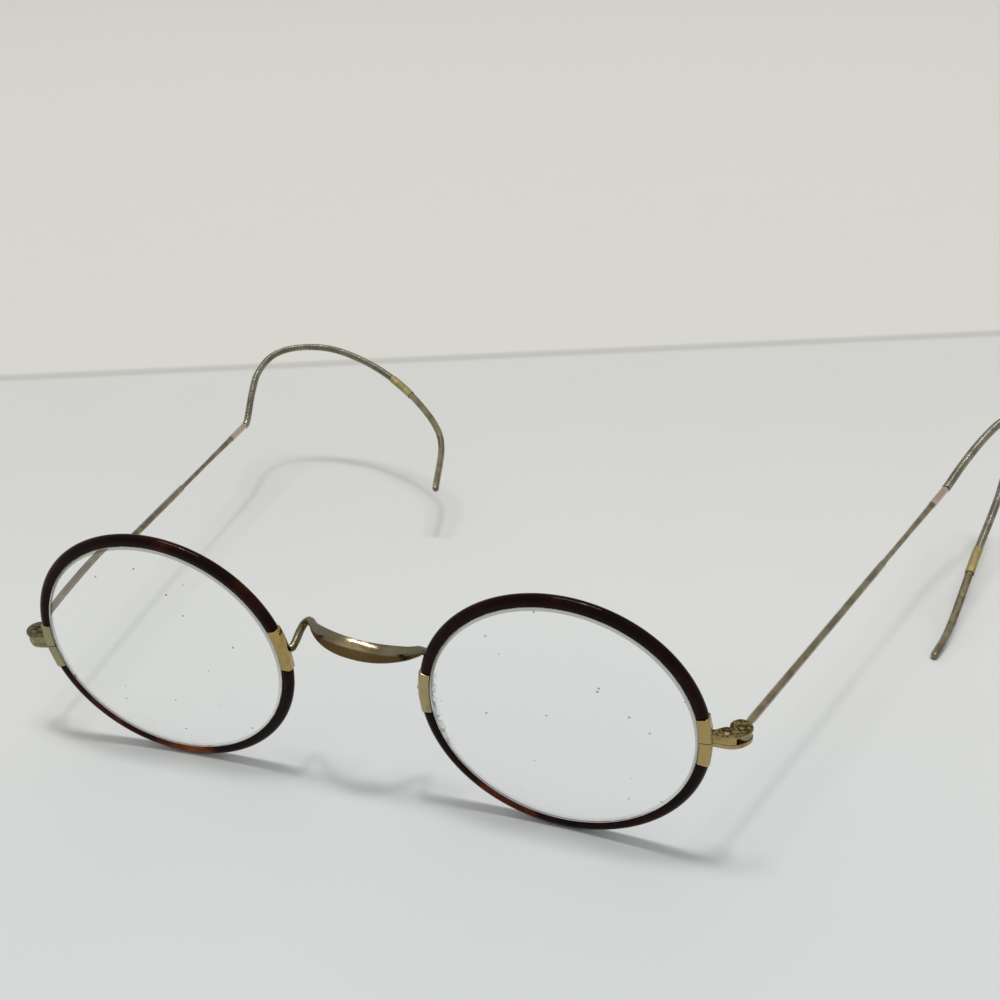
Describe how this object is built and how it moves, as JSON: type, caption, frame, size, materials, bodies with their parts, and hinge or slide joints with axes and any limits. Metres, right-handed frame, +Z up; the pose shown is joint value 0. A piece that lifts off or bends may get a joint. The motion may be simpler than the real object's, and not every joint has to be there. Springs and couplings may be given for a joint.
{
  "type": "round eyeglasses",
  "caption": "Round spectacles with tortoiseshell-covered metal rims, a saddle bridge and cable temples that fold on leaf hinges and hook behind the ears.",
  "frame": {"origin": "middle of the footprint box, on the surface that the rims and the right tip stand on", "axes": "+X across the front, from the picture's left eye to its right eye, +Y back along the temples, +Z up"},
  "size_m": [0.1688, 0.1108, 0.0437],
  "materials": {
    "lens_glass": "clear polished",
    "tortoiseshell": "gloss, mottled dark brown",
    "gold": "satin gold",
    "aged_gold": "tarnished gold",
    "screw_metal": "dull",
    "temple_metal": "worn",
    "cable_wire": "fine wound wire"
  },
  "bodies": {
    "front": {"left_lens": "lens_glass", "left_eyewire": "gold", "left_upper_rim_cover": "tortoiseshell", "left_lower_rim_cover": "tortoiseshell", "left_nasal_collar": "gold", "left_upper_endpiece": "aged_gold", "left_lower_endpiece": "aged_gold", "left_closing_screw": "screw_metal", "left_hinge_screw": "screw_metal", "right_lens": "lens_glass", "right_eyewire": "gold", "right_upper_rim_cover": "tortoiseshell", "right_lower_rim_cover": "tortoiseshell", "right_nasal_collar": "gold", "right_upper_endpiece": "aged_gold", "right_lower_endpiece": "aged_gold", "right_closing_screw": "screw_metal", "right_hinge_screw": "screw_metal", "bridge": "gold"},
    "left_temple": {"left_temple_shaft": "temple_metal", "left_ferrule": "gold", "left_cable_core": "screw_metal", "left_cable_winding": "cable_wire", "left_cable_sleeve": "gold", "left_temple_tip": "temple_metal"},
    "right_temple": {"right_temple_shaft": "temple_metal", "right_ferrule": "gold", "right_cable_core": "screw_metal", "right_cable_winding": "cable_wire", "right_cable_sleeve": "gold", "right_temple_tip": "temple_metal"}
  },
  "joints": [
    {"name": "left_temple_fold", "type": "hinge", "parent": "front", "child": "left_temple", "pos_m": [-0.07699, -0.05086, 0.01976], "axis": [0.1392, 0.0504, -0.989], "range_deg": [-16, 56]},
    {"name": "right_temple_fold", "type": "hinge", "parent": "front", "child": "right_temple", "pos_m": [0.03858, -0.05105, 0.02393], "axis": [-0.0243, -0.0452, 0.9987], "range_deg": [0, 93]}
  ]
}
